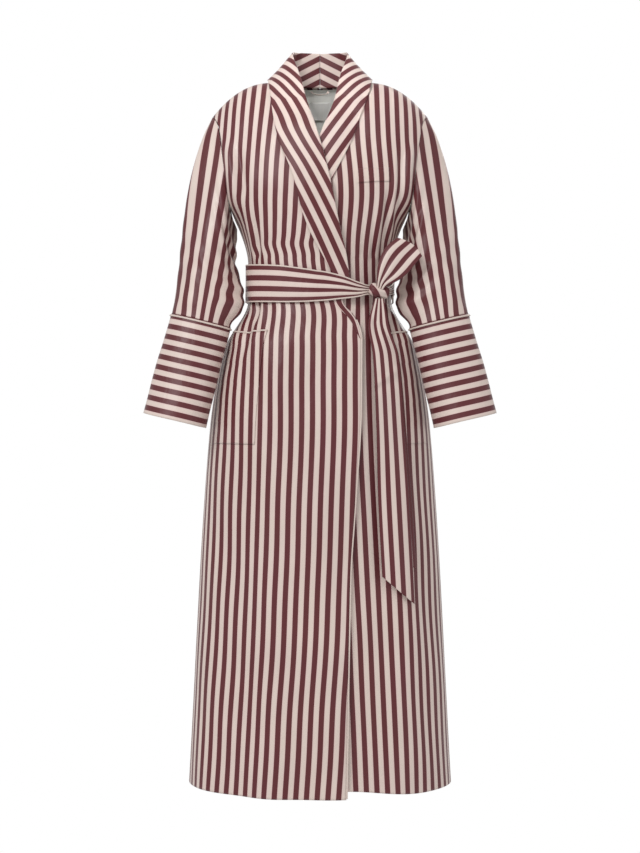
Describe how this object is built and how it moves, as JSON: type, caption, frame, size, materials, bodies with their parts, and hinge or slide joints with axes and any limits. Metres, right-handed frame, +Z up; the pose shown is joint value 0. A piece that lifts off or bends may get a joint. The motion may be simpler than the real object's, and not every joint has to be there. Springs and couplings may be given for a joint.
{
  "type": "bathrobe",
  "caption": "Full-length wrap dressing gown in striped satin with a shawl collar, turned-back cuffs, patch pockets and a tied sash, hanging as worn.",
  "frame": {"origin": "middle of the neck opening, level with the neck seam, on the line a hanger's hook passes", "axes": "+Z up towards the neck, -Y out of the fronts, +X towards the wearer's left"},
  "size_m": [0.6338, 0.3027, 1.3571],
  "materials": {
    "stripe_satin": "satin",
    "cream_satin": "satin",
    "pale_lining": "satin",
    "label_weave": "matte"
  },
  "bodies": {
    "robe": {"back_panel": "stripe_satin", "right_front": "stripe_satin", "left_front": "stripe_satin", "back_lining": "pale_lining", "right_front_lining": "pale_lining", "left_front_lining": "pale_lining", "right_collar": "stripe_satin", "left_collar": "stripe_satin", "sash_band": "stripe_satin", "sash_top_piping": "cream_satin", "sash_bottom_piping": "cream_satin", "sash_knot": "stripe_satin", "bow_loop": "stripe_satin", "right_hip_pocket": "stripe_satin", "right_pocket_piping": "cream_satin", "left_hip_pocket": "stripe_satin", "left_pocket_piping": "cream_satin", "chest_pocket_welt": "stripe_satin", "right_belt_loop": "stripe_satin", "left_belt_loop": "stripe_satin", "front_edge_piping": "cream_satin", "neck_label": "label_weave"},
    "right_sleeve_body": {"right_sleeve": "stripe_satin", "right_sleeve_lining": "pale_lining", "right_cuff": "stripe_satin", "right_cuff_piping": "cream_satin"},
    "left_sleeve_body": {"left_sleeve": "stripe_satin", "left_sleeve_lining": "pale_lining", "left_cuff": "stripe_satin", "left_cuff_piping": "cream_satin"},
    "tail_back": {"sash_tail_back": "stripe_satin"},
    "tail_front": {"sash_tail_front": "stripe_satin"},
    "neck_loop": {"hanger_loop": "cream_satin"}
  },
  "joints": [
    {"name": "right_sleeve_lift", "type": "hinge", "parent": "robe", "child": "right_sleeve_body", "pos_m": [-0.192, 0, -0.045], "axis": [0, 1, 0], "range_deg": [0, 80]},
    {"name": "left_sleeve_lift", "type": "hinge", "parent": "robe", "child": "left_sleeve_body", "pos_m": [0.192, 0, -0.045], "axis": [0, -1, 0], "range_deg": [0, 80]},
    {"name": "sash_tail_back_swing", "type": "hinge", "parent": "robe", "child": "tail_back", "pos_m": [0.106, -0.1083, -0.4063], "axis": [-1, 0, 0], "range_deg": [0, 50]},
    {"name": "sash_tail_front_swing", "type": "hinge", "parent": "tail_back", "child": "tail_front", "pos_m": [0.106, -0.1083, -0.4063], "axis": [-1, 0, 0], "range_deg": [0, 45]},
    {"name": "hanger_loop_flip", "type": "hinge", "parent": "robe", "child": "neck_loop", "pos_m": [0, 0.052, -0.004], "axis": [-1, 0, 0], "range_deg": [0, 60]}
  ]
}
